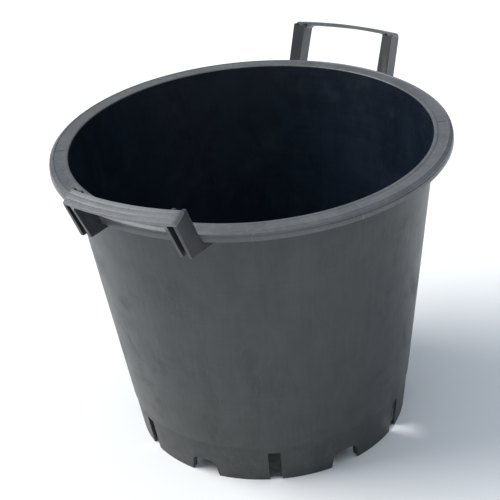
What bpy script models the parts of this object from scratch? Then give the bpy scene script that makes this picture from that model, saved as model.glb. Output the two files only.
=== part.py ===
# Florist bucket: a moulded plastic tub with two fixed loop handles and a drained base.
#
# Metres, +Z up.  The origin is the middle of the foot, on the floor, and the two
# handles stand on +X and -X.  The tub is one moulding, so every solid here is rigid
# to the others and meets them across a parting gap.

import math

import bmesh
import bpy
from mathutils import Matrix, Vector

# Driving dimensions
RIM_RADIUS = 0.210          # outside of the rim's skirt
RIM_HEIGHT = 0.333          # floor to the rim's top face
MOUTH_RADIUS = 0.190        # inside of the wall at the rim
FOOT_RADIUS = 0.150         # outside of the wall at the floor
PLASTIC = 0.0025            # thickness of walls and plates
GAP = 0.0003                # parting gap between neighbouring solids
SEGMENTS = 96               # sides of every turned shape

# Rim
RIM_PLATE = 0.003           # thickness of the flange and of its skirt
RIM_CORNER = 0.004          # radius of the flange's outer corner
SKIRT_DEPTH = 0.010         # how far the skirt hangs below the rim's top face
COLLAR_RADIUS = 0.196       # thicker neck of the wall under the flange
COLLAR_DEPTH = 0.009
COLLAR_TAPER = 0.003
WEB_THICKNESS = 0.002       # stiffening webs under the flange
WEB_ANGLES = (60, 120, 240, 300)
WEB_FOOT = 0.312            # height of a web's lowest point

# Foot band
STEP_HEIGHT = 0.046         # height of the step line around the wall
STEP_IN = 0.0008            # how far the band under it is set back
SLOT_WIDTH = 0.0135         # six upright side slots
SLOT_TOP = 0.038
MOUTH_HEIGHT = 0.020        # six channel mouths
MOUTH_WIDTH_TOP = 0.029
MOUTH_WIDTH_FOOT = 0.033
PITCH = 60                  # degrees between slots, mouths, channels and sectors

# Base
BASE_RAISE = 0.003          # floor to the underside of the base plates
HUB_APOTHEM = 0.052         # centre to the flat sides of the six-sided hub
CHANNEL_WIDTH = 0.029       # clear width inside a drainage channel
CHANNEL_ROOF = 0.024        # height of a channel's roof
CHANNEL_CORNER = 0.0035     # radius along the roof's edges
DRAIN_RADII = (0.071, 0.103, 0.135)
DRAIN_LENGTH = 0.017
DRAIN_TOP = 0.0155
DRAIN_NOTCH = 0.005         # how far a drain hole reaches into the base plate

# Handles: corners of an arm's side face, as (distance from the axis, height)
ARM_OUTSIDE = 0.062         # middle of the handle to an arm's outer face
ARM_WIDTH = 0.0125
ARM_PLATE = 0.003
ARM_TOE = (0.2208, 0.3169)
ARM_TIP_OUTER = (0.2411, 0.3630)
ARM_TIP_INNER = (0.2225, 0.3702)
ARM_ROOT = (0.2006, 0.3205)
ARM_HEEL_HEIGHT = 0.3128
GRIP_RADIUS = 0.249         # outer edge of the grip, about the tub's axis
GRIP_DEPTH = 0.0158         # strap's width, from its outer edge in towards the tub
GRIP_THICKNESS = 0.004
GRIP_EDGE = 0.0012          # rounding of the grip's edges

BLACK_PLASTIC = (0.022, 0.024, 0.026, 1.0)
ROUGHNESS = 0.45


def clear_scene():
    for item in list(bpy.data.objects):
        bpy.data.objects.remove(item, do_unlink=True)


def new_collection(name):
    collection = bpy.data.collections.new(name)
    bpy.context.scene.collection.children.link(collection)
    return collection


def black_plastic(name):
    material = bpy.data.materials.new(name + "_plastic")
    material.use_nodes = True
    shader = material.node_tree.nodes["Principled BSDF"]
    shader.inputs["Base Color"].default_value = BLACK_PLASTIC
    shader.inputs["Roughness"].default_value = ROUGHNESS
    shader.inputs["Metallic"].default_value = 0.0
    material.diffuse_color = BLACK_PLASTIC
    return material


def add_part(name, mesh, angle=0.0):
    """Places a finished mesh, turned about the tub's axis by angle degrees."""
    part = bpy.data.objects.new(name, mesh)
    part.rotation_euler = (0.0, 0.0, math.radians(angle))
    parts.objects.link(part)


def as_cutter(item):
    item.hide_render = True
    item.display_type = "WIRE"
    return item


# Shapes

def turned(name, profile, home):
    """Turns a closed profile of (radius, height) points about the Z axis."""
    mesh = bpy.data.meshes.new(name)
    points = [(radius, 0.0, height) for radius, height in profile]
    edges = [(i, (i + 1) % len(points)) for i in range(len(points))]
    mesh.from_pydata(points, edges, [])
    item = bpy.data.objects.new(name, mesh)
    home.objects.link(item)
    screw = item.modifiers.new("Turn", "SCREW")
    screw.axis = "Z"
    screw.angle = math.tau
    screw.steps = SEGMENTS
    screw.render_steps = SEGMENTS
    screw.use_merge_vertices = True
    screw.merge_threshold = 0.00001
    return item


def box(name, low, high, home):
    """An axis-aligned box between two corners."""
    mesh = bpy.data.meshes.new(name)
    shape = bmesh.new()
    bmesh.ops.create_cube(shape, size=1.0)
    size = Vector(high) - Vector(low)
    middle = (Vector(high) + Vector(low)) / 2
    bmesh.ops.transform(shape, matrix=Matrix.Translation(middle) @ Matrix.Diagonal((*size, 1.0)),
                        verts=shape.verts)
    shape.to_mesh(mesh)
    shape.free()
    item = bpy.data.objects.new(name, mesh)
    home.objects.link(item)
    return item


def outline_curve(name, points, thickness):
    """A flat outline in the curve's own XY plane, filled and given a thickness."""
    curve = bpy.data.curves.new(name, "CURVE")
    curve.dimensions = "2D"
    curve.fill_mode = "BOTH"
    curve.extrude = thickness / 2
    spline = curve.splines.new("POLY")
    spline.points.add(len(points) - 1)
    for point, (x, y) in zip(spline.points, points):
        point.co = (x, y, 0.0, 1.0)
    spline.use_cyclic_u = True
    return curve


def solid_outline(name, points, thickness, placing, home):
    """The same outline as a welded mesh object, with its place in its mesh."""
    curve = bpy.data.objects.new(name + "_outline", outline_curve(name, points, thickness))
    home.objects.link(curve)
    bpy.context.view_layer.update()
    shaped = bpy.data.meshes.new_from_object(curve.evaluated_get(bpy.context.evaluated_depsgraph_get()))
    bpy.data.objects.remove(curve, do_unlink=True)
    shape = bmesh.new()
    shape.from_mesh(shaped)
    bmesh.ops.remove_doubles(shape, verts=shape.verts, dist=0.00001)
    bmesh.ops.transform(shape, matrix=placing, verts=shape.verts)
    bmesh.ops.recalc_face_normals(shape, faces=shape.faces)
    shape.to_mesh(shaped)
    shape.free()
    item = bpy.data.objects.new(name, shaped)
    home.objects.link(item)
    return item


def boolean(item, tool, operation="DIFFERENCE"):
    modifier = item.modifiers.new(tool.name, "BOOLEAN")
    modifier.operation = operation
    modifier.solver = "EXACT"
    modifier.object = tool
    as_cutter(tool)


def finished_mesh(item, name):
    """Returns an object's mesh with its modifiers applied and its material, and removes the object."""
    bpy.context.view_layer.update()
    mesh = bpy.data.meshes.new_from_object(item.evaluated_get(bpy.context.evaluated_depsgraph_get()))
    mesh.name = name
    bpy.data.objects.remove(item, do_unlink=True)
    mesh.materials.clear()
    mesh.materials.append(black_plastic(name))
    mesh.shade_smooth()
    mesh.set_sharp_from_angle(angle=math.radians(35))
    return mesh


# Sizes that follow from the driving dimensions

def wall_outside(height):
    """Outer radius of the wall above the step line."""
    foot = FOOT_RADIUS + STEP_IN
    return foot + (MOUTH_RADIUS + PLASTIC - foot) * height / RIM_HEIGHT


def band_outside(height):
    return wall_outside(height) - STEP_IN


def polar(radius, angle):
    return (radius * math.cos(angle), radius * math.sin(angle))


FLANGE_UNDERSIDE = RIM_HEIGHT - RIM_PLATE
SKIRT_BOTTOM = RIM_HEIGHT - SKIRT_DEPTH
COLLAR_BOTTOM = RIM_HEIGHT - RIM_PLATE - COLLAR_DEPTH
CHANNEL_OUTSIDE = CHANNEL_WIDTH / 2 + PLASTIC * 0.9


# Rim

def rim_profile(grow=0.0):
    """Section of the flange and its skirt, and grow larger all round for a clearance cutter."""
    corner = [(RIM_RADIUS - RIM_CORNER + (RIM_CORNER + grow) * math.sin(turn),
               RIM_HEIGHT - RIM_CORNER + (RIM_CORNER + grow) * math.cos(turn))
              for turn in [math.radians(step * 22.5) for step in range(5)]]
    inside = MOUTH_RADIUS - grow
    skirt_inside = RIM_RADIUS - RIM_PLATE - grow
    return [(inside, RIM_HEIGHT + grow)] + corner + [
        (RIM_RADIUS + grow, SKIRT_BOTTOM - grow),
        (skirt_inside, SKIRT_BOTTOM - grow),
        (skirt_inside, FLANGE_UNDERSIDE - grow),
        (inside, FLANGE_UNDERSIDE - grow),
    ]


def make_rim():
    add_part("rim_flange", finished_mesh(turned("rim_shape", rim_profile(), cutters), "rim_flange"))


def make_rim_webs():
    """Four thin radial webs that tie the wall to the skirt under the flange."""
    neck = COLLAR_RADIUS + GAP
    skirt = RIM_RADIUS - RIM_PLATE - 2 * GAP
    top = FLANGE_UNDERSIDE - GAP
    points = [
        (neck, top), (skirt, top), (skirt, SKIRT_BOTTOM),
        (wall_outside(WEB_FOOT) + 2 * GAP, WEB_FOOT),
        (wall_outside(COLLAR_BOTTOM - COLLAR_TAPER) + 2 * GAP, COLLAR_BOTTOM - COLLAR_TAPER),
        (neck, COLLAR_BOTTOM - GAP),
    ]
    upright = Matrix.Rotation(math.radians(90), 4, "X")
    web = solid_outline("web_shape", points, WEB_THICKNESS, upright, cutters)
    mesh = finished_mesh(web, "rim_web")
    for number, angle in enumerate(WEB_ANGLES, 1):
        add_part(f"rim_web_{number}", mesh, angle)


# Wall and foot

def wall_profile():
    top = FLANGE_UNDERSIDE - GAP
    bottom = STEP_HEIGHT + GAP
    taper_end = COLLAR_BOTTOM - COLLAR_TAPER
    return [
        (COLLAR_RADIUS, top), (COLLAR_RADIUS, COLLAR_BOTTOM),
        (wall_outside(taper_end), taper_end), (wall_outside(bottom), bottom),
        (wall_outside(bottom) - PLASTIC, bottom), (wall_outside(top) - PLASTIC, top),
    ]


def make_wall():
    add_part("tub_wall", finished_mesh(turned("wall_shape", wall_profile(), cutters), "tub_wall"))


def make_foot_band():
    """The lowest band of the wall, with its side slots and channel mouths."""
    profile = [
        (band_outside(STEP_HEIGHT), STEP_HEIGHT), (band_outside(0.0), 0.0),
        (band_outside(0.0) - PLASTIC, 0.0), (band_outside(STEP_HEIGHT) - PLASTIC, STEP_HEIGHT),
    ]
    band = turned("band_shape", profile, cutters)
    reach = FOOT_RADIUS * 1.2
    mouth = [
        (-MOUTH_WIDTH_FOOT / 2, -MOUTH_HEIGHT), (MOUTH_WIDTH_FOOT / 2, -MOUTH_HEIGHT),
        (MOUTH_WIDTH_FOOT / 2, 0.0), (MOUTH_WIDTH_TOP / 2, MOUTH_HEIGHT * 0.8),
        (MOUTH_WIDTH_TOP / 2 - MOUTH_HEIGHT * 0.2, MOUTH_HEIGHT),
        (-MOUTH_WIDTH_TOP / 2 + MOUTH_HEIGHT * 0.2, MOUTH_HEIGHT),
        (-MOUTH_WIDTH_TOP / 2, MOUTH_HEIGHT * 0.8), (-MOUTH_WIDTH_FOOT / 2, 0.0),
    ]
    facing_out = Matrix(((0, 0, 1, reach), (1, 0, 0, 0), (0, 1, 0, 0), (0, 0, 0, 1)))
    tools = []
    for number in range(6):
        slot = box(f"slot_cut_{number}", (FOOT_RADIUS * 0.8, -SLOT_WIDTH / 2, -SLOT_TOP),
                   (reach, SLOT_WIDTH / 2, SLOT_TOP), cutters)
        slot.rotation_euler.z = math.radians(PITCH * (number + 0.5))
        opening = solid_outline(f"mouth_cut_{number}", mouth, reach * 0.8, facing_out, cutters)
        opening.rotation_euler.z = math.radians(PITCH * number)
        tools += [slot, opening]
    for tool in tools:
        boolean(band, tool)
    add_part("foot_band", finished_mesh(band, "foot_band"))


# Base

def sector_outline():
    """One base plate, between the channel on +X and the channel PITCH degrees round."""
    side = CHANNEL_OUTSIDE + GAP
    inner = HUB_APOTHEM + GAP
    outer = band_outside(BASE_RAISE) - PLASTIC - GAP
    first_edge = [(inner, side)]
    for radius in DRAIN_RADII:
        start = radius - DRAIN_LENGTH / 2
        end = radius + DRAIN_LENGTH / 2
        first_edge += [(start, side), (start, side + DRAIN_NOTCH), (end, side + DRAIN_NOTCH), (end, side)]
    turn = math.asin(side / outer)
    first_edge.append(polar(outer, turn))
    step = math.tau / SEGMENTS
    arc = [polar(outer, k * step) for k in range(1, SEGMENTS // 6)
           if turn + 0.2 * step < k * step < math.radians(PITCH) - turn - 0.2 * step]
    mirror_axis = 2 * math.radians(PITCH / 2)
    second_edge = [(x * math.cos(mirror_axis) + y * math.sin(mirror_axis),
                    x * math.sin(mirror_axis) - y * math.cos(mirror_axis)) for x, y in reversed(first_edge)]
    corner = polar(inner / math.cos(math.radians(PITCH / 2)), math.radians(PITCH / 2))
    return first_edge + arc + second_edge + [corner]


def make_base():
    raised = Matrix.Translation((0.0, 0.0, BASE_RAISE + PLASTIC / 2))
    plate = solid_outline("sector_shape", sector_outline(), PLASTIC, raised, cutters)
    mesh = finished_mesh(plate, "base_sector")
    for number in range(6):
        add_part(f"base_sector_{number + 1}", mesh, PITCH * number)
    corner_radius = HUB_APOTHEM / math.cos(math.radians(PITCH / 2))
    corners = [polar(corner_radius, math.radians(PITCH * (k + 0.5))) for k in range(6)]
    hub = solid_outline("hub_shape", corners, PLASTIC, raised, cutters)
    add_part("base_hub", finished_mesh(hub, "base_hub"))


def make_channels():
    """Six raised drainage channels, open below and at the wall, with drain holes in their sides."""
    end = FOOT_RADIUS * 1.1
    inner = HUB_APOTHEM + GAP
    channel = box("channel_shape", (inner, -CHANNEL_OUTSIDE, BASE_RAISE),
                  (end, CHANNEL_OUTSIDE, CHANNEL_ROOF), cutters)
    shape = bmesh.new()
    shape.from_mesh(channel.data)
    roof_edges = [edge for edge in shape.edges
                  if all(vert.co.z > BASE_RAISE + GAP for vert in edge.verts)
                  and any(vert.co.x < end - GAP for vert in edge.verts)]
    bmesh.ops.bevel(shape, geom=roof_edges, offset=CHANNEL_CORNER, segments=3, profile=0.5,
                    affect="EDGES", material=-1)
    shape.to_mesh(channel.data)
    shape.free()
    hollow = box("channel_hollow", (inner + PLASTIC, -CHANNEL_WIDTH / 2, -CHANNEL_ROOF),
                 (end * 1.1, CHANNEL_WIDTH / 2, CHANNEL_ROOF - PLASTIC), cutters)
    boolean(channel, hollow)
    for number, radius in enumerate(DRAIN_RADII):
        drain = box(f"drain_cut_{number}", (radius - DRAIN_LENGTH / 2, -CHANNEL_WIDTH, -DRAIN_TOP),
                    (radius + DRAIN_LENGTH / 2, CHANNEL_WIDTH, DRAIN_TOP), cutters)
        boolean(channel, drain)
    tall = STEP_HEIGHT
    room = turned("base_room", [(band_outside(tall) - PLASTIC - GAP, tall),
                                (band_outside(-tall) - PLASTIC - GAP, -tall),
                                (0.0, -tall), (0.0, tall)], cutters)
    boolean(channel, room, "INTERSECT")
    mesh = finished_mesh(channel, "drain_channel")
    for number in range(6):
        add_part(f"drain_channel_{number + 1}", mesh, PITCH * number)


# Handles

def along(start, direction, distance):
    return (start[0] + direction[0] * distance, start[1] + direction[1] * distance)


def loop_directions():
    """Unit vectors up the handle's loop, and across it towards the open side."""
    up = Vector((ARM_TIP_OUTER[0] - ARM_TOE[0], ARM_TIP_OUTER[1] - ARM_TOE[1])).normalized()
    return up, Vector((up.y, -up.x))


def make_arm(name, side):
    """One arm: two plates with lips behind the strap, joined by a web and running on under the rim."""
    up, out = loop_directions()
    heel = MOUTH_RADIUS * 0.9
    shortened = -GRIP_THICKNESS - GAP
    flange = FLANGE_UNDERSIDE - GAP
    lip = along(ARM_TIP_OUTER, out, -GRIP_DEPTH - GAP)
    face = [
        (heel, ARM_HEEL_HEIGHT), ARM_TOE, along(ARM_TIP_OUTER, up, shortened), along(lip, up, shortened),
        lip, ARM_TIP_INNER, ARM_ROOT, (ARM_ROOT[0], flange), (heel, flange),
    ]
    upright = Matrix.Rotation(math.radians(90), 4, "X")
    middle = side * (ARM_OUTSIDE - ARM_WIDTH / 2)
    placing = Matrix.Translation((0.0, middle, 0.0)) @ upright
    arm = solid_outline(name + "_shape", face, ARM_WIDTH, placing, cutters)
    web_back = along(ARM_TIP_INNER, out, -ARM_PLATE)
    web_top = along(along(ARM_TIP_INNER, out, ARM_PLATE), up, shortened)
    web_foot = along(ARM_ROOT, out, ARM_PLATE)
    below_skirt = SKIRT_BOTTOM - GAP
    web_end = along(web_foot, up, (below_skirt - web_foot[1]) / up.y)
    far = RIM_RADIUS * 1.3
    low = ARM_HEEL_HEIGHT * 0.95
    high = RIM_HEIGHT * 1.02
    slot = [
        along(web_back, up, shortened), web_top, web_end, (ARM_ROOT[0], below_skirt), (ARM_ROOT[0], high),
        (heel * 0.95, high), (heel * 0.95, low), (far, low), (far, web_top[1] * 1.1),
        along(web_back, up, ARM_WIDTH * 2),
    ]
    slot_width = ARM_WIDTH - 2 * ARM_PLATE
    boolean(arm, solid_outline(name + "_slot", slot, slot_width, placing, cutters))
    boolean(arm, rim_clearance)
    boolean(arm, wall_clearance)
    return finished_mesh(arm, name)


def make_grip():
    """The curved strap across the arms' tips, a stretch of a turned ring."""
    up, out = loop_directions()
    outer = (GRIP_RADIUS, ARM_TIP_OUTER[1])
    inner = along(outer, out, -GRIP_DEPTH)
    section = [inner, outer, along(outer, up, -GRIP_THICKNESS), along(inner, up, -GRIP_THICKNESS)]
    ring = turned("grip_ring", section, cutters)
    boolean(ring, box("grip_span", (0.0, -ARM_OUTSIDE, 0.0),
                      (RIM_RADIUS * 1.5, ARM_OUTSIDE, RIM_HEIGHT * 1.5), cutters), "INTERSECT")
    rounding = ring.modifiers.new("Edges", "BEVEL")
    rounding.width = GRIP_EDGE
    rounding.segments = 2
    rounding.limit_method = "ANGLE"
    rounding.angle_limit = math.radians(50)
    return finished_mesh(ring, "handle_grip")


def make_handles():
    grip = make_grip()
    arms = [make_arm("handle_arm_left", 1), make_arm("handle_arm_right", -1)]
    for letter, angle in (("a", 0), ("b", 180)):
        add_part(f"handle_{letter}_grip", grip, angle)
        for number, arm in enumerate(arms, 1):
            add_part(f"handle_{letter}_arm_{number}", arm, angle)


clear_scene()
parts = new_collection("florist_bucket")
cutters = new_collection("cutters")

rim_clearance = as_cutter(turned("rim_clearance", rim_profile(GAP), cutters))
wall_clearance = as_cutter(turned("wall_clearance", [
    (COLLAR_RADIUS + GAP, RIM_HEIGHT), (COLLAR_RADIUS + GAP, COLLAR_BOTTOM - GAP),
    (wall_outside(COLLAR_BOTTOM - COLLAR_TAPER) + GAP, COLLAR_BOTTOM - COLLAR_TAPER - GAP),
    (wall_outside(STEP_HEIGHT) + GAP, STEP_HEIGHT), (0.0, STEP_HEIGHT), (0.0, RIM_HEIGHT)], cutters))

make_rim()
make_rim_webs()
make_wall()
make_foot_band()
make_base()
make_channels()
make_handles()
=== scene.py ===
import math

import bmesh
import bpy
from mathutils import Matrix, Vector


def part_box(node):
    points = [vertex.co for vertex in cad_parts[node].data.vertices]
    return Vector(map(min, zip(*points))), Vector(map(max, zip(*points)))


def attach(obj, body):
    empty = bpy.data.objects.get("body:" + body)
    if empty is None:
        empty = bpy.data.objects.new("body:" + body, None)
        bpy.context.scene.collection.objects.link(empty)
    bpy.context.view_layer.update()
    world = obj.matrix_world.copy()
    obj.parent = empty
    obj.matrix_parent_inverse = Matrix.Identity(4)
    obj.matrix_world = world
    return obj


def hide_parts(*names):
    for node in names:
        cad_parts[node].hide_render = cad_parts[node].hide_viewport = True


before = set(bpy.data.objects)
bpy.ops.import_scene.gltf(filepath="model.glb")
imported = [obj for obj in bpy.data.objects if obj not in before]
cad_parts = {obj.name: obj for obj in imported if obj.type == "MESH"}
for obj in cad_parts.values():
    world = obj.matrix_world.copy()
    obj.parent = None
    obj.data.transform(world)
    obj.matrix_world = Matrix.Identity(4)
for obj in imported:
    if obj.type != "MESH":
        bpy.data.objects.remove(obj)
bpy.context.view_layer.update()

# Florist bucket in black moulded plastic. It is one moulding, so every piece rides on "root".

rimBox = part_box("rim_flange")
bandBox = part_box("foot_band")
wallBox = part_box("tub_wall")
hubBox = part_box("base_hub")

tub = {
    "rimRadius": rimBox[1].x,      # outside of the skirt
    "rimHeight": rimBox[1].z,
    "skirtFoot": rimBox[0].z,
    "bandHeight": bandBox[1].z,    # step line around the wall
    "collarRadius": wallBox[1].x,
    "mouthRadius": 0.190,          # inside of the wall at the rim
    "footRadius": 0.150,           # outside of the wall at the floor
    "stepIn": 0.0008,              # set-back of the band under the step line
    "plastic": 0.0025,             # thickness of the wall
    "turns": 192,                  # sides of every turned shape
    "pitch": 60,                   # degrees between channels, slots and base plates
}


def wallOutside(height):
    foot = tub["footRadius"] + tub["stepIn"]
    lip = tub["mouthRadius"] + tub["plastic"]
    return foot + (lip - foot) * height / tub["rimHeight"]


def bandOutside(height):
    return wallOutside(height) - tub["stepIn"]


# Shader groups. They put out masks and heights only; the shaders stay in the materials.

def newGroup(name, inputs, outputs):
    group = bpy.data.node_groups.new(name, "ShaderNodeTree")
    for label, kind in inputs:
        group.interface.new_socket(name=label, in_out="INPUT", socket_type="NodeSocket" + kind)
    for label in outputs:
        group.interface.new_socket(name=label, in_out="OUTPUT", socket_type="NodeSocketFloat")
    return group, group.nodes.new("NodeGroupInput"), group.nodes.new("NodeGroupOutput")


def addMath(tree, operation, first, second=None, clamp=False):
    node = tree.nodes.new("ShaderNodeMath")
    node.operation = operation
    node.use_clamp = clamp
    for socket, value in zip(node.inputs, (first, second)):
        if isinstance(value, (int, float)):
            socket.default_value = value
        elif value is not None:
            tree.links.new(value, socket)
    return node.outputs[0]


def addNoise(tree, vector, scale, detail=3.0, rough=0.55, distortion=0.0):
    node = tree.nodes.new("ShaderNodeTexNoise")
    tree.links.new(vector, node.inputs["Vector"])
    node.inputs["Scale"].default_value = scale
    node.inputs["Detail"].default_value = detail
    node.inputs["Roughness"].default_value = rough
    node.inputs["Distortion"].default_value = distortion
    return node.outputs["Fac"]


def addRange(tree, value, low, high, newLow=0.0, newHigh=1.0):
    node = tree.nodes.new("ShaderNodeMapRange")
    node.interpolation_type = "SMOOTHSTEP"
    tree.links.new(value, node.inputs["Value"])
    for label, number in (("From Min", low), ("From Max", high), ("To Min", newLow), ("To Max", newHigh)):
        node.inputs[label].default_value = number
    return node.outputs["Result"]


def addVector(tree, operation, first, second=None):
    node = tree.nodes.new("ShaderNodeVectorMath")
    node.operation = operation
    tree.links.new(first, node.inputs[0])
    if second is not None:
        node.inputs[1].default_value = second
    return node.outputs["Vector"]


def makeMouldGrain():
    # fine sparkle of the mould's blasted face, and the soft unevenness under it
    group, source, result = newGroup("mouldGrain", [("Place", "Vector")], ["Fine", "Soft"])
    place = source.outputs["Place"]
    fine = addMath(group, "MULTIPLY", addNoise(group, place, 1400.0, 2.0, 0.6), 0.6)
    peel = addMath(group, "MULTIPLY", addNoise(group, place, 420.0, 2.0, 0.5), 0.4)
    group.links.new(addMath(group, "ADD", fine, peel), result.inputs["Fine"])
    group.links.new(addNoise(group, place, 42.0, 3.0, 0.5, 0.4), result.inputs["Soft"])
    return group


def makeFlowMarks():
    # upright streaks where the plastic ran up the wall, clouds, and faint turned rings
    group, source, result = newGroup("flowMarks", [("Place", "Vector")], ["Streak", "Cloud", "Ring"])
    place = source.outputs["Place"]
    around = addVector(group, "NORMALIZE", addVector(group, "MULTIPLY", place, (1.0, 1.0, 0.0)))
    height = addVector(group, "MULTIPLY", place, (0.0, 0.0, 1.1))
    run = group.nodes.new("ShaderNodeVectorMath")
    run.operation = "ADD"
    group.links.new(around, run.inputs[0])
    group.links.new(height, run.inputs[1])
    wide = addNoise(group, run.outputs["Vector"], 11.0, 3.0, 0.6, 0.5)
    thin = addNoise(group, run.outputs["Vector"], 46.0, 2.0, 0.6, 0.3)
    streak = addMath(group, "ADD", addMath(group, "MULTIPLY", wide, 0.6),
                     addMath(group, "MULTIPLY", thin, 0.4))
    group.links.new(addRange(group, streak, 0.36, 0.64), result.inputs["Streak"])
    cloud = addNoise(group, place, 17.0, 4.0, 0.6, 1.2)
    group.links.new(addRange(group, cloud, 0.32, 0.68), result.inputs["Cloud"])
    ring = addNoise(group, addVector(group, "MULTIPLY", place, (0.5, 0.5, 260.0)), 1.0, 2.0, 0.5)
    group.links.new(addRange(group, ring, 0.35, 0.65), result.inputs["Ring"])
    return group


def makeHandling():
    # scuffs from stacking: fine scratches that run mostly upright, and rubbed patches
    group, source, result = newGroup("handling", [("Place", "Vector")], ["Scratch", "Rub"])
    place = source.outputs["Place"]
    patch = addRange(group, addNoise(group, place, 24.0, 3.0, 0.6, 0.6), 0.52, 0.72)
    lines = None
    for turn, slant in enumerate((12.0, -31.0, 67.0)):
        mapping = group.nodes.new("ShaderNodeMapping")
        mapping.inputs["Rotation"].default_value = (math.radians(slant), math.radians(slant * 0.6),
                                                    0.4 * turn)
        mapping.inputs["Scale"].default_value = (620.0, 620.0, 16.0)
        group.links.new(place, mapping.inputs["Vector"])
        line = addRange(group, addNoise(group, mapping.outputs["Vector"], 1.0, 1.0, 0.5), 0.68, 0.76)
        lines = line if lines is None else addMath(group, "MAXIMUM", lines, line)
    group.links.new(addMath(group, "MULTIPLY", lines, patch), result.inputs["Scratch"])
    group.links.new(patch, result.inputs["Rub"])
    return group


def makeDust():
    # pale dust on faces that look up, more of it low down near the floor
    group, source, result = newGroup("dust", [("Place", "Vector"), ("Facing", "Vector")], ["Lying", "Splash"])
    place = source.outputs["Place"]
    split = group.nodes.new("ShaderNodeSeparateXYZ")
    group.links.new(source.outputs["Facing"], split.inputs[0])
    level = addRange(group, split.outputs["Z"], 0.35, 0.95)
    grit = addRange(group, addNoise(group, place, 210.0, 4.0, 0.7), 0.42, 0.68)
    group.links.new(addMath(group, "MULTIPLY", level, grit), result.inputs["Lying"])
    where = group.nodes.new("ShaderNodeSeparateXYZ")
    group.links.new(place, where.inputs[0])
    low = addRange(group, where.outputs["Z"], 0.002, 0.075, 1.0, 0.0)
    splash = addRange(group, addNoise(group, place, 65.0, 5.0, 0.7, 0.5), 0.44, 0.66)
    group.links.new(addMath(group, "MULTIPLY", low, splash), result.inputs["Splash"])
    return group


def makeEdgeWearAndHighlight():
    # how far a rounded normal turns away from the face's own one, broken up by noise; it paints edges paler,
    # partly rubbed wear and partly painted highlight
    group, source, result = newGroup("edgeWearAndHighlight", [("Place", "Vector"), ("Facing", "Vector")], ["Edge"])
    rounded = group.nodes.new("ShaderNodeBevel")
    rounded.samples = 4
    rounded.inputs["Radius"].default_value = 0.0011
    dot = group.nodes.new("ShaderNodeVectorMath")
    dot.operation = "DOT_PRODUCT"
    group.links.new(rounded.outputs["Normal"], dot.inputs[0])
    group.links.new(source.outputs["Facing"], dot.inputs[1])
    turned = addRange(group, addMath(group, "SUBTRACT", 1.0, dot.outputs["Value"]), 0.01, 0.22)
    broken = addRange(group, addNoise(group, source.outputs["Place"], 130.0, 3.0, 0.6), 0.30, 0.62, 0.25, 1.0)
    group.links.new(addMath(group, "MULTIPLY", turned, broken), result.inputs["Edge"])
    return group


effects = {
    "grain": makeMouldGrain(),
    "flow": makeFlowMarks(),
    "handling": makeHandling(),
    "dust": makeDust(),
    "wearAndHighlight": makeEdgeWearAndHighlight(),
}
print("shader groups made")


# Materials. deep and pale are the ends of each finish's tone; dirt is what lies on it. The inside, the rim
# and the strap are darker and paler copies of the one black plastic: painted shade, painted sheen and painted
# highlight.
# The single numbers are how strongly each effect shows.

finishes = {
    "outsidePlastic": {
        "deep": (0.0215, 0.0250, 0.0262), "pale": (0.0400, 0.0445, 0.0455), "dirt": (0.115, 0.116, 0.108),
        "rough": (0.40, 0.54), "streak": 0.45, "ring": 0.14, "dust": 0.30, "splash": 0.28,
        "wearAndHighlight": 0.5, "scratch": 0.55, "grain": 0.20,
    },
    # the same plastic painted darker and bluer for the inside: painted shade of the hollow and painted sky
    # reflection
    "insidePaintedShadePlastic": {
        "deep": (0.0020, 0.0055, 0.0120), "pale": (0.0065, 0.0130, 0.0240), "dirt": (0.035, 0.042, 0.052),
        "rough": (0.34, 0.48), "streak": 0.35, "ring": 0.25, "dust": 0.12, "splash": 0.30,
        "wearAndHighlight": 0.3, "scratch": 0.35, "grain": 0.18,
    },
    # the same plastic painted about three times paler for the rim and the webs: painted sheen of the sky on
    # flange and skirt
    "rimPaintedSheenPlastic": {
        "deep": (0.076, 0.079, 0.084), "pale": (0.118, 0.122, 0.128), "dirt": (0.21, 0.21, 0.21),
        "rough": (0.33, 0.46), "streak": 0.30, "ring": 0.0, "dust": 0.18, "splash": 0.0,
        "wearAndHighlight": 0.9, "scratch": 0.6, "grain": 0.22,
    },
    "handlePlastic": {
        "deep": (0.022, 0.023, 0.027), "pale": (0.042, 0.044, 0.049), "dirt": (0.14, 0.14, 0.14),
        "rough": (0.34, 0.50), "streak": 0.20, "ring": 0.0, "dust": 0.25, "splash": 0.0,
        "wearAndHighlight": 0.9, "scratch": 0.7, "grain": 0.45,
    },
    # the same plastic painted paler still for the strap: painted highlight where it catches the sky
    "strapPaintedHighlightPlastic": {
        "deep": (0.108, 0.111, 0.117), "pale": (0.165, 0.169, 0.176), "dirt": (0.24, 0.24, 0.24),
        "rough": (0.30, 0.44), "streak": 0.10, "ring": 0.0, "dust": 0.15, "splash": 0.0,
        "wearAndHighlight": 0.8, "scratch": 0.8, "grain": 0.20,
    },
    "footPlastic": {
        "deep": (0.0205, 0.0240, 0.0250), "pale": (0.0385, 0.0425, 0.0430), "dirt": (0.110, 0.109, 0.100),
        "rough": (0.42, 0.56), "streak": 0.40, "ring": 0.10, "dust": 0.25, "splash": 0.28,
        "wearAndHighlight": 0.7, "scratch": 0.8, "grain": 0.20,
    },
    "basePlastic": {
        "deep": (0.026, 0.027, 0.028), "pale": (0.042, 0.043, 0.043), "dirt": (0.13, 0.125, 0.115),
        "rough": (0.45, 0.62), "streak": 0.15, "ring": 0.0, "dust": 0.30, "splash": 0.55,
        "wearAndHighlight": 0.6, "scratch": 0.8, "grain": 0.24,
    },
}


# what all the finishes share
surface = {
    "toneReach": 0.9,              # streak and cloud together
    # edges and scratches go this much paler than the pale tone: rubbed wear, and along edges also painted
    # highlight
    "paleMarkGain": 2.1,               # how much paler than the pale tone worn plastic is
    "softRough": 0.6,
    "rubRough": 0.35,
    "unevenRange": (0.15, 0.75),
    "dirtRough": 0.25,
    "scratchBump": 0.10,
    "streakBump": 0.30,
    "bumpStrength": 0.35,
    "bumpDistance": 0.0007,
}


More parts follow.
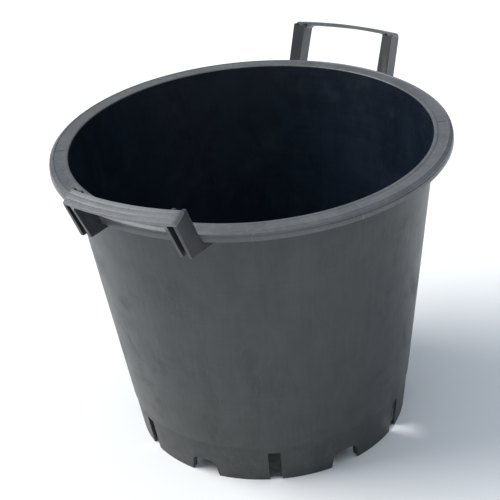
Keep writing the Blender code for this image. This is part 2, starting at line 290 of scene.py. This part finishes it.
def plasticMaterial(name):
    finish = finishes[name]
    material = bpy.data.materials.new(name)
    material.use_nodes = True
    tree = material.node_tree
    shader = tree.nodes["Principled BSDF"]
    place = tree.nodes.new("ShaderNodeTexCoord").outputs["Object"]
    facing = tree.nodes.new("ShaderNodeNewGeometry").outputs["Normal"]

    made = {}
    for label, group in effects.items():
        node = tree.nodes.new("ShaderNodeGroup")
        node.node_tree = group
        tree.links.new(place, node.inputs["Place"])
        if "Facing" in node.inputs:
            tree.links.new(facing, node.inputs["Facing"])
        made[label] = node.outputs

    def mixColour(amount, first, second):
        node = tree.nodes.new("ShaderNodeMix")
        node.data_type = "RGBA"
        tree.links.new(amount, node.inputs[0])
        for socket, value in ((node.inputs[6], first), (node.inputs[7], second)):
            if isinstance(value, tuple):
                socket.default_value = (*value, 1.0)
            else:
                tree.links.new(value, socket)
        return node.outputs[2]

    def scaled(output, amount):
        return addMath(tree, "MULTIPLY", output, amount)

    tone = addMath(tree, "ADD", scaled(made["flow"]["Streak"], finish["streak"]),
                   scaled(made["flow"]["Cloud"], surface["toneReach"] - finish["streak"]))
    tone = addMath(tree, "ADD", tone, scaled(made["flow"]["Ring"], finish["ring"]), clamp=True)
    colour = mixColour(tone, finish["deep"], finish["pale"])
    # scratches and edges go paler: real wear, and along edges also painted highlight
    paleMarkTone = tuple(min(1.0, channel * surface["paleMarkGain"]) for channel in finish["pale"])
    marks = addMath(tree, "MAXIMUM", scaled(made["wearAndHighlight"]["Edge"], finish["wearAndHighlight"]),
                    scaled(made["handling"]["Scratch"], finish["scratch"]))
    colour = mixColour(marks, colour, paleMarkTone)
    dirt = addMath(tree, "ADD", scaled(made["dust"]["Lying"], finish["dust"]),
                   scaled(made["dust"]["Splash"], finish["splash"]), clamp=True)
    colour = mixColour(dirt, colour, finish["dirt"])
    tree.links.new(colour, shader.inputs["Base Color"])

    smooth, dull = finish["rough"]
    uneven = addMath(tree, "ADD", scaled(made["grain"]["Soft"], surface["softRough"]),
                     scaled(made["handling"]["Rub"], surface["rubRough"]))
    rough = addRange(tree, uneven, *surface["unevenRange"], smooth, dull)
    rough = addMath(tree, "ADD", rough, scaled(dirt, surface["dirtRough"]), clamp=True)
    tree.links.new(rough, shader.inputs["Roughness"])
    shader.inputs["Metallic"].default_value = 0.0
    shader.inputs["IOR"].default_value = 1.5

    height = addMath(tree, "ADD", scaled(made["grain"]["Fine"], finish["grain"]), made["grain"]["Soft"])
    height = addMath(tree, "SUBTRACT", height, scaled(made["handling"]["Scratch"], surface["scratchBump"]))
    height = addMath(tree, "ADD", height, scaled(made["flow"]["Streak"], surface["streakBump"]))
    bump = tree.nodes.new("ShaderNodeBump")
    bump.inputs["Strength"].default_value = surface["bumpStrength"]
    bump.inputs["Distance"].default_value = surface["bumpDistance"]
    tree.links.new(height, bump.inputs["Height"])
    tree.links.new(bump.outputs["Normal"], shader.inputs["Normal"])
    return material


materials = {name: plasticMaterial(name) for name in finishes}
print("materials made:", ", ".join(materials))


# Mesh helpers

finishing = {
    "cornerSegments": 4,
    "smoothAngle": 38,             # faces that meet at less than this are shaded as one
    "edgeAngle": 35,               # edges sharper than this are rounded
    "edgeSegments": 3,
    "weld": 0.00001,
    "cut": 0.000001,               # how near a plane a point counts as on it
}


def turnAbout(degrees):
    return Matrix.Rotation(math.radians(degrees), 4, "Z")


def wireLoop(shape, points):
    verts = [shape.verts.new(point) for point in points]
    for first, second in zip(verts, verts[1:] + verts[:1]):
        shape.edges.new((first, second))
    return verts


def roundCorners(shape, corners):
    # corners holds (vertex, radius); corners of one radius are cut together
    for radius in sorted({size for _, size in corners if size > 0.0}):
        chosen = [vert for vert, size in corners if size == radius]
        bmesh.ops.bevel(shape, geom=chosen, offset=radius, segments=finishing["cornerSegments"],
                        profile=0.5, affect="VERTICES", material=-1)


def spinWhole(shape, steps):
    bmesh.ops.spin(shape, geom=shape.verts[:] + shape.edges[:], cent=(0, 0, 0), axis=(0, 0, 1),
                   dvec=(0, 0, 0), angle=math.tau, steps=steps, use_merge=True, use_duplicate=False)
    bmesh.ops.remove_doubles(shape, verts=shape.verts[:], dist=finishing["weld"])


def spinClosed(shape, steps):
    spinWhole(shape, steps)
    bmesh.ops.recalc_face_normals(shape, faces=shape.faces[:])


def cutAll(shape, place, normal):
    bmesh.ops.bisect_plane(shape, geom=shape.verts[:] + shape.edges[:] + shape.faces[:],
                           dist=finishing["cut"], plane_co=place, plane_no=normal)


def moveAll(shape, matrix):
    bmesh.ops.transform(shape, matrix=matrix, verts=shape.verts[:])


def newVerts(made):
    return [item for item in made["geom"] if isinstance(item, bmesh.types.BMVert)]


def joinShapes(target, source):
    # adds one bmesh to another through a passing mesh
    passing = bpy.data.meshes.new("passing")
    source.to_mesh(passing)
    source.free()
    target.from_mesh(passing)
    bpy.data.meshes.remove(passing)


def finishPiece(name, shape, slots, replaced, edge=0.0):
    mesh = bpy.data.meshes.new(name)
    shape.to_mesh(mesh)
    shape.free()
    for slot in slots:
        mesh.materials.append(materials[slot])
    mesh.shade_smooth()
    mesh.set_sharp_from_angle(angle=math.radians(finishing["smoothAngle"]))
    piece = bpy.data.objects.new(name, mesh)
    bpy.context.scene.collection.objects.link(piece)
    if edge:
        rounding = piece.modifiers.new("Edges", "BEVEL")
        rounding.width = edge
        rounding.segments = finishing["edgeSegments"]
        rounding.limit_method = "ANGLE"
        rounding.angle_limit = math.radians(finishing["edgeAngle"])
    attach(piece, "root")
    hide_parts(*replaced)
    return piece


def copiedSolid(node, grow):
    # a CAD solid as clean flat faces, let out a little so that it meets its neighbours
    shape = bmesh.new()
    shape.from_mesh(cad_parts[node].data)
    bmesh.ops.remove_doubles(shape, verts=shape.verts[:], dist=0.00002)
    bmesh.ops.dissolve_limit(shape, angle_limit=math.radians(1.0), verts=shape.verts[:],
                             edges=shape.edges[:])
    shape.normal_update()
    for vert in shape.verts:
        vert.co += vert.normal * grow
    return shape


# Wall and rim, one turned shape with a lip, a sunk flat, a ridge, a shoulder and a skirt

shell = {
    "skirtThickness": 0.0030,
    "flangeThickness": 0.0030,
    "collarDrop": 0.0120,          # flange to where the thick collar ends
    "collarTaper": 0.0030,
    "lipWidth": 0.0038,
    "flatSink": 0.0007,
    "ridgeRadius": 0.2054,
    "ridgeWidth": 0.0010,
    "shoulderDrop": 0.0026,
    "grooveDrop": 0.0038,          # shallow groove between the shoulder and the skirt's face
    "grooveDepth": 0.0009,
    "seamLift": 0.0002,            # how far above the step line the wall starts
}


def buildShell():
    top = tub["rimHeight"]
    under = top - shell["flangeThickness"]
    start = tub["bandHeight"] + shell["seamLift"]
    collarFoot = top - shell["collarDrop"]
    taperFoot = collarFoot - shell["collarTaper"]
    skirtInside = tub["rimRadius"] - shell["skirtThickness"]
    flat = top - shell["flatSink"]
    ridge = shell["ridgeRadius"]
    half = shell["ridgeWidth"] / 2
    lip = tub["mouthRadius"] + shell["lipWidth"]
    skirtFoot, outside = tub["skirtFoot"], tub["rimRadius"]
    # up the outside, over the rim and down the inside: radius, height, corner radius
    section = [
        (wallOutside(start), start, 0.0005),
        (wallOutside(taperFoot), taperFoot, 0.0012),
        (tub["collarRadius"], collarFoot, 0.0010),
        (tub["collarRadius"], under, 0.0009),
        (skirtInside - 0.0004, under, 0.0012),
        (skirtInside, skirtFoot, 0.0008),
        (outside, skirtFoot, 0.0008),
        (outside, top - shell["grooveDrop"] - 0.0014, 0.0008),
        (outside - shell["grooveDepth"], top - shell["grooveDrop"], 0.0004),
        (outside - 0.0003, top - shell["shoulderDrop"], 0.0009),
        (ridge + half + 0.0006, top - 0.0006, 0.0006),
        (ridge + half, top, 0.0003),
        (ridge - half, top, 0.0003),
        (ridge - half - 0.0005, flat, 0.0003),
        (lip + 0.0007, flat, 0.0003),
        (lip, top, 0.0006),
        (tub["mouthRadius"], top, 0.0013),
        (wallOutside(start) - tub["plastic"], start, 0.0),
    ]
    shape = bmesh.new()
    verts = wireLoop(shape, [(radius, 0.0, height) for radius, height, _ in section])
    roundCorners(shape, [(vert, point[2]) for vert, point in zip(verts, section)])
    spinClosed(shape, tub["turns"])
    for face in shape.faces:
        middle = face.calc_center_median()
        radius = Vector((middle.x, middle.y)).length
        outward = face.normal.x * middle.x + face.normal.y * middle.y
        if outward < -0.3 * radius and radius < tub["mouthRadius"] + 0.001 and middle.z < top - 0.0012:
            # inside of the wall takes the darker, bluer copy of the plastic: painted shade and painted sky
            # reflection
            face.material_index = 1  # inside of the wall
        elif middle.z > skirtFoot - 0.001 and radius > tub["mouthRadius"] - 0.001:
            # rim takes the paler copy of the plastic: painted sheen
            face.material_index = 2  # rim
    return finishPiece("wall_and_rim", shape, ["outsidePlastic", "insidePaintedShadePlastic", "rimPaintedSheenPlastic"],
                       ("tub_wall", "rim_flange"))


buildShell()
print("wall and rim built")


# Foot band, a turned sheet cut through by planes and then given its thickness

foot = {
    "slotWidth": 0.0135,
    "slotTop": 0.038,
    "slotCorner": 0.0012,
    "mouthHeight": 0.020,
    "mouthWidthTop": 0.029,
    "mouthWidthFoot": 0.033,
    "mouthCorner": 0.0072,
    "cutReach": 0.030,             # how far to each side of an opening the sheet may be cut
    "seamLap": 0.0004,             # how far above the step line the band ends, behind the wall
    "edge": 0.0006,
}


def openingOutline(halfFoot, halfTop, height, corner):
    # upright outline with rounded upper corners, as (across, height), anticlockwise from below
    points = [(-halfFoot, -0.01), (halfFoot, -0.01), (halfFoot, 0.0)]
    for side, angles in ((1, (0, 30, 60, 90)), (-1, (90, 120, 150, 180))):
        across, up = side * (halfTop - corner), height - corner
        for angle in angles:
            points.append((across + corner * math.cos(math.radians(angle)),
                           up + corner * math.sin(math.radians(angle))))
    return points + [(-halfFoot, 0.0)]


def cutOpening(shape, outline, degrees):
    # cuts the sheet near one bearing along the outline's sides and drops what lies inside
    turn = turnAbout(degrees)
    back = turn.inverted()

    def middleOf(face):
        return back @ face.calc_center_median()

    def nearFaces():
        return [face for face in shape.faces
                if middleOf(face).x > 0 and abs(middleOf(face).y) < foot["cutReach"]]

    sides = []
    for first, second in zip(outline, outline[1:] + outline[:1]):
        along = Vector((0.0, second[0] - first[0], second[1] - first[1]))
        if along.length < 1e-6 or (first[1] < -0.001 and second[1] < -0.001):
            continue  # no side, or the one below the floor
        inward = Vector((0.0, -along.z, along.y)).normalized()
        origin = Vector((0.0, first[0], first[1]))
        sides.append((origin, inward))
        faces = nearFaces()
        edges = {edge for face in faces for edge in face.edges}
        verts = {vert for face in faces for vert in face.verts}
        bmesh.ops.bisect_plane(shape, geom=faces + list(edges) + list(verts), dist=finishing["cut"],
                               plane_co=turn @ origin, plane_no=turn.to_3x3() @ inward)
    inside = [face for face in nearFaces()
              if all((middleOf(face) - origin).dot(inward) > 0 for origin, inward in sides)]
    bmesh.ops.delete(shape, geom=inside, context="FACES")


def buildFootBand():
    top = tub["bandHeight"] + foot["seamLap"]
    shape = bmesh.new()
    verts = [shape.verts.new((bandOutside(height), 0.0, height)) for height in (0.0, top)]
    shape.edges.new(verts)
    spinWhole(shape, tub["turns"])
    mouth = openingOutline(foot["mouthWidthFoot"] / 2, foot["mouthWidthTop"] / 2, foot["mouthHeight"],
                           foot["mouthCorner"])
    slot = openingOutline(foot["slotWidth"] / 2, foot["slotWidth"] / 2, foot["slotTop"],
                          foot["slotCorner"])
    for number in range(6):
        cutOpening(shape, mouth, tub["pitch"] * number)
        cutOpening(shape, slot, tub["pitch"] * (number + 0.5))
    bmesh.ops.recalc_face_normals(shape, faces=shape.faces[:])
    sample = next(iter(shape.faces))  # the sheet is open, so its outside is checked by one face
    if sample.normal.dot(sample.calc_center_median()) < 0:
        bmesh.ops.reverse_faces(shape, faces=shape.faces[:])
    bmesh.ops.solidify(shape, geom=shape.faces[:], thickness=tub["plastic"])
    return finishPiece("foot_ring", shape, ["footPlastic"], ("foot_band",), edge=foot["edge"])


buildFootBand()
print("foot ring built")


# Base plates, hub and drainage channels

base = {
    "edge": 0.0005,
    "ringRadius": 0.0210,
    "ringWidth": 0.0012,
    "ringProud": 0.0005,
    "gateRadius": 0.0032,
    "gateProud": 0.0012,
    "pocketRadius": 0.0575,        # middle of the small cored boxes near the hub's corners
    "pocketSize": (0.0105, 0.0085),
    "pocketWall": 0.0011,
    "pocketProud": 0.0022,
    "ringSides": 72,
    "ringSink": 0.0003,            # how far the ring and the gate mark stand in the hub
    "pocketSink": 0.0004,          # the same for a box in its plate
    "grow": 0.00022,
    "hubGrow": 0.0004,
}


def addPocket(plate, bearing, under):
    # a small open box standing under the plate, inset from a cube and sunk
    box = bmesh.new()
    bmesh.ops.create_cube(box, size=1.0)
    long, short = base["pocketSize"]
    tall = base["pocketProud"] + base["pocketSink"]
    middle = Vector((base["pocketRadius"], 0.0, under + base["pocketSink"] - tall / 2))
    moveAll(box, Matrix.Translation(middle) @ Matrix.Diagonal((long, short, tall, 1.0)))
    box.normal_update()
    lower = [face for face in box.faces if face.normal.z < -0.9]
    bmesh.ops.inset_region(box, faces=lower, thickness=base["pocketWall"], use_even_offset=True)
    lower = [face for face in box.faces
             if face.normal.z < -0.9 and (face.calc_center_median() - middle).to_2d().length < 0.0001]
    sunk = bmesh.ops.extrude_face_region(box, geom=lower)
    bmesh.ops.delete(box, geom=lower, context="FACES")
    bmesh.ops.translate(box, verts=newVerts(sunk), vec=(0.0, 0.0, base["pocketProud"]))
    moveAll(box, turnAbout(bearing))
    bmesh.ops.recalc_face_normals(box, faces=box.faces[:])
    joinShapes(plate, box)


def buildBase():
    under = hubBox[0].z
    for number in range(1, 7):
        plate = copiedSolid(f"base_sector_{number}", base["grow"])
        addPocket(plate, tub["pitch"] * (number - 0.5), under)
        finishPiece(f"base_plate_{number}", plate, ["basePlastic"], (f"base_sector_{number}",),
                    edge=base["edge"])
        channel = copiedSolid(f"drain_channel_{number}", base["grow"])
        finishPiece(f"channel_{number}", channel, ["basePlastic"], (f"drain_channel_{number}",),
                    edge=base["edge"])
    hub = copiedSolid("base_hub", base["hubGrow"])
    for radius, width, proud in ((base["ringRadius"], base["ringWidth"], base["ringProud"]),
                                 (base["gateRadius"] / 2, base["gateRadius"], base["gateProud"])):
        ring = bmesh.new()
        inner, outer = max(0.0004, radius - width / 2), radius + width / 2
        sunk = under + base["ringSink"]
        verts = wireLoop(ring, [(inner, 0, sunk), (outer, 0, sunk),
                                (outer, 0, under - proud), (inner, 0, under - proud)])
        roundCorners(ring, [(vert, min(0.0003, proud / 3)) for vert in verts[2:]])
        spinClosed(ring, base["ringSides"])
        joinShapes(hub, ring)
    finishPiece("hub", hub, ["basePlastic"], ("base_hub",), edge=base["edge"])


buildBase()
print("base built")


# Webs under the flange, each with the thin flash line that crosses the rim above it

webs = {
    "bearings": (60, 120, 240, 300),
    "edge": 0.0003,
    "grow": 0.0002,
    "flashWidth": 0.0011,
    "flashHeight": 0.0008,
    "flashStart": 0.0012,          # outwards from the mouth
    "flashEnd": 0.0045,            # inwards from the rim's outside
    "flashSink": 0.00015,          # how far below the rim's top the flash stops
}


def buildWebs():
    middle = tub["rimHeight"] - webs["flashSink"] - webs["flashHeight"] / 2
    start = tub["mouthRadius"] + webs["flashStart"]
    end = tub["rimRadius"] - webs["flashEnd"]
    for number, bearing in enumerate(webs["bearings"], 1):
        web = copiedSolid(f"rim_web_{number}", webs["grow"])
        flash = bmesh.new()
        bmesh.ops.create_cube(flash, size=1.0)
        moveAll(flash, Matrix.Translation(((start + end) / 2, 0.0, middle))
                @ Matrix.Diagonal((end - start, webs["flashWidth"], webs["flashHeight"], 1.0)))
        moveAll(flash, turnAbout(bearing))
        joinShapes(web, flash)
        finishPiece(f"web_{number}", web, ["rimPaintedSheenPlastic"], (f"rim_web_{number}",), edge=webs["edge"])


buildWebs()
print("webs built")


# Handles: two slotted arms and a strap bent round the tub

handle = {
    "armEdge": 0.0007,
    "halfWidth": 0.062,
    "armWidth": 0.0125,
    "armPlate": 0.0030,
    "depth": 0.0158,               # strap, front to back
    "outer": (0.249, 0.3630),      # strap's upper outer edge at the middle: radius, height
    "lean": (0.4030, 0.9152),      # direction up the arm, in radius and height
    "armFoot": 0.3169,             # height where the arms start to follow the strap's curve
    "armTip": 0.2411,              # radius of an arm's outer edge at the strap
    "armGrow": 0.0003,
    "lipDrop": 0.0022,             # how far the lips behind the strap are brought down
    "strap": 0.0040,
    "strapEdge": 0.0012,
    "corner": 0.0036,              # outer corners of the loop
    "windowCorner": 0.0048,        # corners of the hand opening
    "groove": (0.0052, 0.0112),    # two shallow lines, measured in from the strap's outer edge
    "grooveHalf": 0.0007,
    "grooveDepth": 0.0005,
    "lap": 0.0002,                 # how far the strap reaches into the arms
    "bendCuts": 14,                # cuts each side of the middle, where the strap can bend
    "bendSpacing": 0.004,
}


def buildStrap(letter, degrees):
    side = handle["halfWidth"]
    lap = handle["lap"]
    window = side - handle["armWidth"] + lap
    thick = handle["strap"]
    shoulder = side - handle["armWidth"] + handle["armPlate"] - lap
    drop = -handle["windowCorner"] - 0.0006
    # one half of the loop seen from outside: across, up, corner radius
    half = [(side, thick, handle["corner"]), (side, -2 * lap, 0), (shoulder, -2 * lap, 0),
            (shoulder, drop, 0), (window, drop, 0), (window, 0.0, handle["windowCorner"])]
    outline = half + [(-across, up, size) for across, up, size in reversed(half)]
    shape = bmesh.new()
    verts = wireLoop(shape, [(0.0, across, up) for across, up, _ in outline])
    roundCorners(shape, [(vert, point[2]) for vert, point in zip(verts, outline)])
    bmesh.ops.edgeloop_fill(shape, edges=shape.edges[:])
    swept = bmesh.ops.extrude_face_region(shape, geom=shape.faces[:])
    bmesh.ops.translate(shape, verts=newVerts(swept), vec=(-handle["depth"], 0.0, 0.0))
    for line in handle["groove"]:
        for offset in (-handle["grooveHalf"], 0.0, handle["grooveHalf"]):
            cutAll(shape, (-line - offset, 0.0, 0.0), (1.0, 0.0, 0.0))
        for vert in shape.verts:
            if abs(vert.co.x + line) < 0.00001 and vert.co.z > thick - 0.00001:
                vert.co.z -= handle["grooveDepth"]
    for step in range(-handle["bendCuts"], handle["bendCuts"] + 1):
        cutAll(shape, (0.0, step * handle["bendSpacing"], 0.0), (0.0, 1.0, 0.0))
    upR, upZ = handle["lean"]
    for vert in shape.verts:
        inward, across, up = -vert.co.x, vert.co.y, vert.co.z - thick
        radius = handle["outer"][0] - upZ * inward + upR * up
        height = handle["outer"][1] + upR * inward + upZ * up
        vert.co = (math.sqrt(radius ** 2 - across ** 2), across, height)
    bmesh.ops.recalc_face_normals(shape, faces=shape.faces[:])
    moveAll(shape, turnAbout(degrees))
    # the strap takes the palest copy of the plastic: painted highlight
    return finishPiece(f"handle_{letter}_strap", shape, ["strapPaintedHighlightPlastic"], (f"handle_{letter}_grip",),
                       edge=handle["strapEdge"])


def lowerLips(arm):
    # brings down the tops of the two small lips that stand behind the strap
    upR, upZ = handle["lean"]
    for vert in arm.verts:
        beyond, above = abs(vert.co.x) - handle["armTip"], vert.co.z - handle["outer"][1]
        up = beyond * upR + above * upZ
        inward = above * upR - beyond * upZ
        if up > -0.002 and inward > handle["depth"] - 0.001:
            vert.co.x -= math.copysign(upR * handle["lipDrop"], vert.co.x)
            vert.co.z -= upZ * handle["lipDrop"]


def bendToStrap(arm, way):
    # the nearer a point is to the middle and the top, the more it moves out to the strap's curve
    reach, side = handle["outer"][0], handle["halfWidth"]
    rise = handle["outer"][1] - handle["armFoot"]
    for vert in arm.verts:
        share = min(1.0, max(0.0, (vert.co.z - handle["armFoot"]) / rise))
        across = min(side, abs(vert.co.y))
        bulge = math.sqrt(reach ** 2 - across ** 2) - math.sqrt(reach ** 2 - side ** 2)
        vert.co.x += way * share * bulge


def buildHandles():
    for letter, degrees in (("a", 0), ("b", 180)):
        buildStrap(letter, degrees)
        for number in (1, 2):
            node = f"handle_{letter}_arm_{number}"
            arm = copiedSolid(node, handle["armGrow"])
            lowerLips(arm)
            bendToStrap(arm, 1 if letter == "a" else -1)
            finishPiece(f"handle_{letter}_side_{number}", arm, ["handlePlastic"], (node,),
                        edge=handle["armEdge"])


buildHandles()
print("handles built")


# Floor, light and camera

stage = {
    "floorHalf": 6.0,
    "floorColour": (0.93, 0.93, 0.93, 1.0),
    "skyColour": (0.80, 0.89, 1.0, 1.0),
    "skyStrength": (0.12, 0.85),   # at the horizon and overhead
    "keyFrom": (0.40, -0.95, 1.05),    # direction towards the key light
    "keyColour": (1.0, 0.985, 0.955),
    "keySpread": 42.0,             # degrees across, for a soft edge to the shadow
    "keyStrength": 3.0,
    "target": (0.006, -0.009, 0.197),
    "cameraPlace": (1.147, 0.701, 0.951),
    "cameraRoll": -5.2,
    "fieldOfView": 20.0,
}


def buildStage():
    shape = bmesh.new()
    bmesh.ops.create_grid(shape, x_segments=1, y_segments=1, size=stage["floorHalf"])
    mesh = bpy.data.meshes.new("floor")
    shape.to_mesh(mesh)
    shape.free()
    paper = bpy.data.materials.new("floorPaper")
    paper.use_nodes = True
    shader = paper.node_tree.nodes["Principled BSDF"]
    shader.inputs["Base Color"].default_value = stage["floorColour"]
    shader.inputs["Roughness"].default_value = 0.9
    mesh.materials.append(paper)
    floor = bpy.data.objects.new("floor", mesh)
    bpy.context.scene.collection.objects.link(floor)

    world = bpy.data.worlds.new("studio")
    world.use_nodes = True
    sky = world.node_tree.nodes["Background"]
    sky.inputs["Color"].default_value = stage["skyColour"]
    tree = world.node_tree
    direction = tree.nodes.new("ShaderNodeSeparateXYZ")
    tree.links.new(tree.nodes.new("ShaderNodeTexCoord").outputs["Generated"], direction.inputs[0])
    strength = addRange(tree, direction.outputs["Z"], 0.0, 0.9, *stage["skyStrength"])
    tree.links.new(strength, sky.inputs["Strength"])
    bpy.context.scene.world = world

    light = bpy.data.lights.new("key", "SUN")
    light.angle = math.radians(stage["keySpread"])
    light.color = stage["keyColour"]
    light.energy = stage["keyStrength"]
    key = bpy.data.objects.new("key", light)
    key.rotation_mode = "QUATERNION"
    key.rotation_quaternion = Vector(stage["keyFrom"]).to_track_quat("Z", "Y")
    bpy.context.scene.collection.objects.link(key)

    lens = bpy.data.cameras.new("camera")
    lens.sensor_width = 36.0
    lens.angle = math.radians(stage["fieldOfView"])
    camera = bpy.data.objects.new("camera", lens)
    camera.location = stage["cameraPlace"]
    camera.rotation_mode = "QUATERNION"
    aim = (Vector(stage["target"]) - camera.location).to_track_quat("-Z", "Y")
    camera.rotation_quaternion = aim @ turnAbout(stage["cameraRoll"]).to_quaternion()
    bpy.context.scene.collection.objects.link(camera)
    bpy.context.scene.camera = camera
    bpy.context.scene.view_settings.view_transform = "Standard"


buildStage()
print("stage built")
